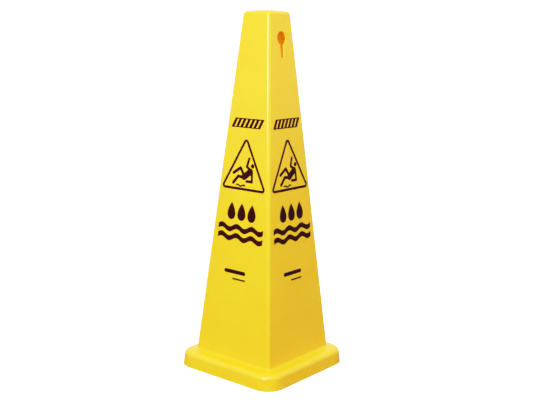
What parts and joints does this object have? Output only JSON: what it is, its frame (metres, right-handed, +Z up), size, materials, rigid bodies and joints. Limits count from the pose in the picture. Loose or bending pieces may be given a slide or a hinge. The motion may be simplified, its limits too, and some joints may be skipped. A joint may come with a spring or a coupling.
{
  "type": "wet floor sign",
  "caption": "Tall hollow four-sided floor cone on a square flange, with printed wet-floor marks and keyholes near the top for a barrier chain.",
  "frame": {"origin": "on the floor, under the middle of the base", "axes": "+Z up along the cone's height, -Y out of the front wall, +X out of the right wall, which has a keyhole"},
  "size_m": [0.3666, 0.3666, 1.04],
  "materials": {
    "yellow_polypropylene": "gloss moulded polypropylene, bright safety yellow, with light scuffs",
    "printed_ink": "thin dark maroon-black screen-printed ink, satin"
  },
  "bodies": {
    "root": {"cone_body": "yellow_polypropylene", "hazard_band_front": "printed_ink", "hazard_band_right": "printed_ink", "hazard_band_back": "printed_ink", "hazard_band_left": "printed_ink", "warning_triangle_front": "printed_ink", "warning_triangle_right": "printed_ink", "warning_triangle_back": "printed_ink", "warning_triangle_left": "printed_ink", "slip_figure_front": "printed_ink", "slip_figure_right": "printed_ink", "slip_figure_back": "printed_ink", "slip_figure_left": "printed_ink", "slip_head_front": "printed_ink", "slip_head_right": "printed_ink", "slip_head_back": "printed_ink", "slip_head_left": "printed_ink", "skid_mark_front": "printed_ink", "skid_mark_right": "printed_ink", "skid_mark_back": "printed_ink", "skid_mark_left": "printed_ink", "drop_left_front": "printed_ink", "drop_left_right": "printed_ink", "drop_left_back": "printed_ink", "drop_left_left": "printed_ink", "drop_middle_front": "printed_ink", "drop_middle_right": "printed_ink", "drop_middle_back": "printed_ink", "drop_middle_left": "printed_ink", "drop_right_front": "printed_ink", "drop_right_right": "printed_ink", "drop_right_back": "printed_ink", "drop_right_left": "printed_ink", "wave_upper_front": "printed_ink", "wave_upper_right": "printed_ink", "wave_upper_back": "printed_ink", "wave_upper_left": "printed_ink", "wave_lower_front": "printed_ink", "wave_lower_right": "printed_ink", "wave_lower_back": "printed_ink", "wave_lower_left": "printed_ink", "maker_bar_front": "printed_ink", "maker_bar_right": "printed_ink", "maker_bar_back": "printed_ink", "maker_bar_left": "printed_ink", "maker_underline_front": "printed_ink", "maker_underline_right": "printed_ink", "maker_underline_back": "printed_ink", "maker_underline_left": "printed_ink"}
  },
  "joints": []
}
